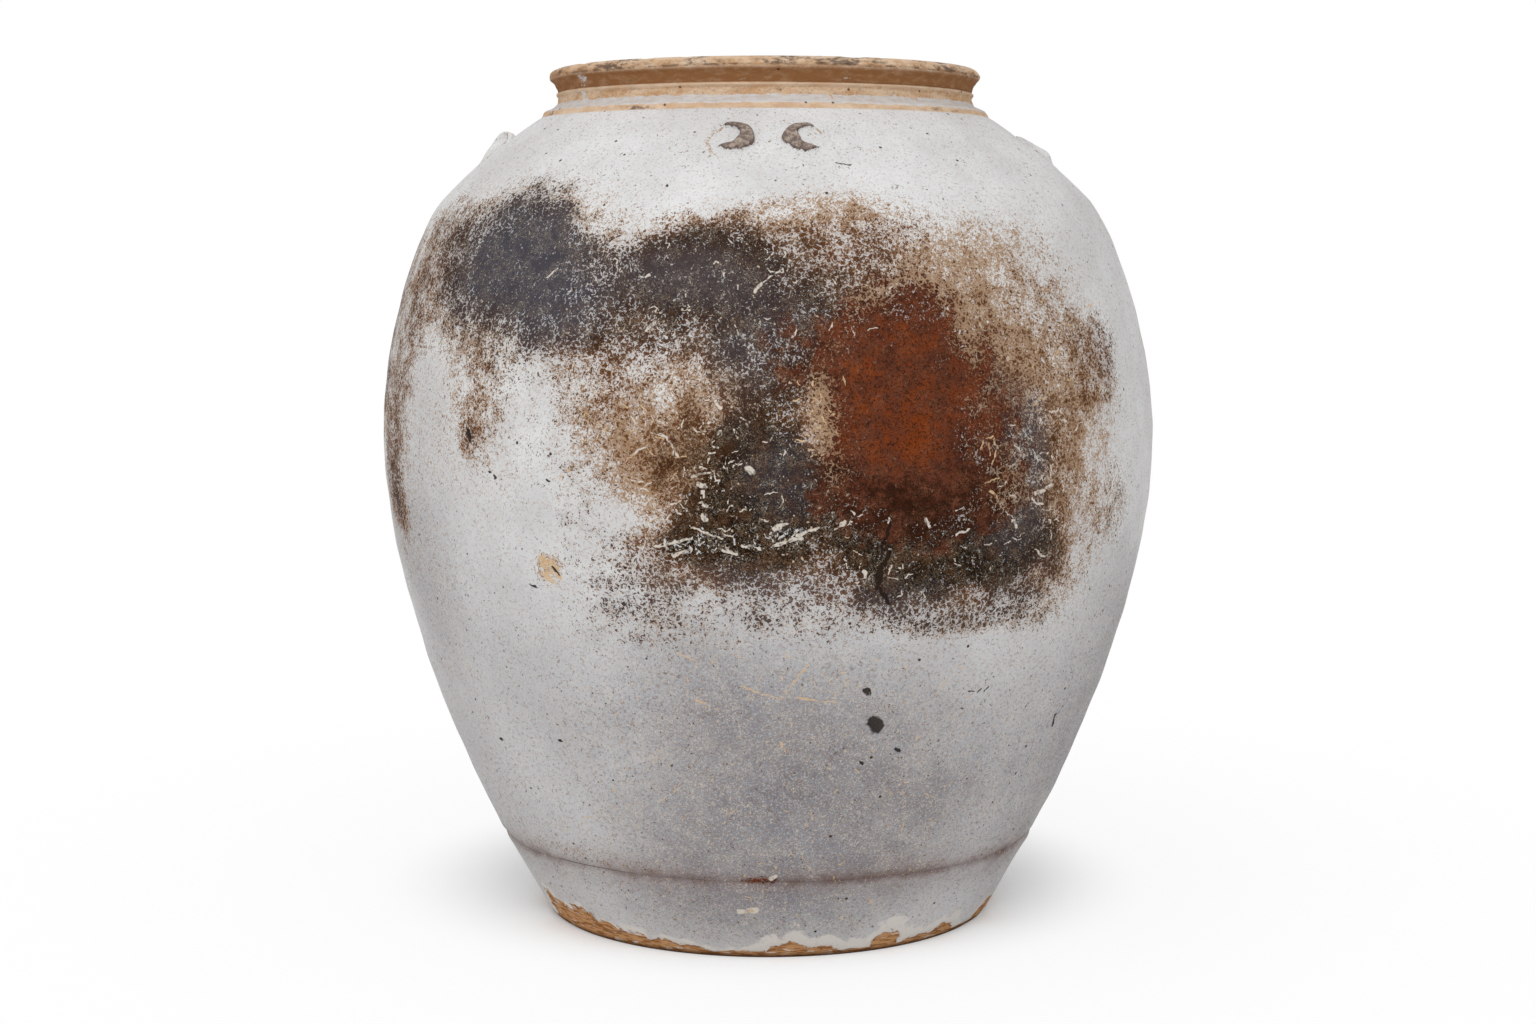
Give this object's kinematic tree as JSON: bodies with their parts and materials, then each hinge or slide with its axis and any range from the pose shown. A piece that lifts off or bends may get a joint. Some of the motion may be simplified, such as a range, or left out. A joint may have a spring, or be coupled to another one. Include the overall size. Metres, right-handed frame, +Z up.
{
  "type": "storage jar",
  "caption": "Large old stoneware storage jar with a pale crackled glaze, a brown rolled rim, broken shoulder lugs and a smoky burn stain",
  "frame": {"origin": "centre of the base's flat underside, on the jar's axis", "axes": "+Z up through the mouth; the lug that faces the viewer in the picture is on -Y; +X is to the viewer's right"},
  "size_m": [0.4112, 0.4112, 0.4498],
  "materials": {
    "glaze": "satin",
    "bare_clay": "matte"
  },
  "bodies": {
    "root": {"base_disc": "bare_clay", "foot_wall": "glaze", "belly_wall": "glaze", "shoulder_wall": "glaze", "neck_collar": "bare_clay", "mouth_rim": "bare_clay", "front_lug_pad_a": "glaze", "front_lug_pad_b": "glaze", "right_lug_pad_a": "glaze", "right_lug_pad_b": "glaze", "back_lug_pad_a": "glaze", "back_lug_pad_b": "glaze", "left_lug_pad_a": "glaze", "left_lug_pad_b": "glaze"}
  },
  "joints": []
}
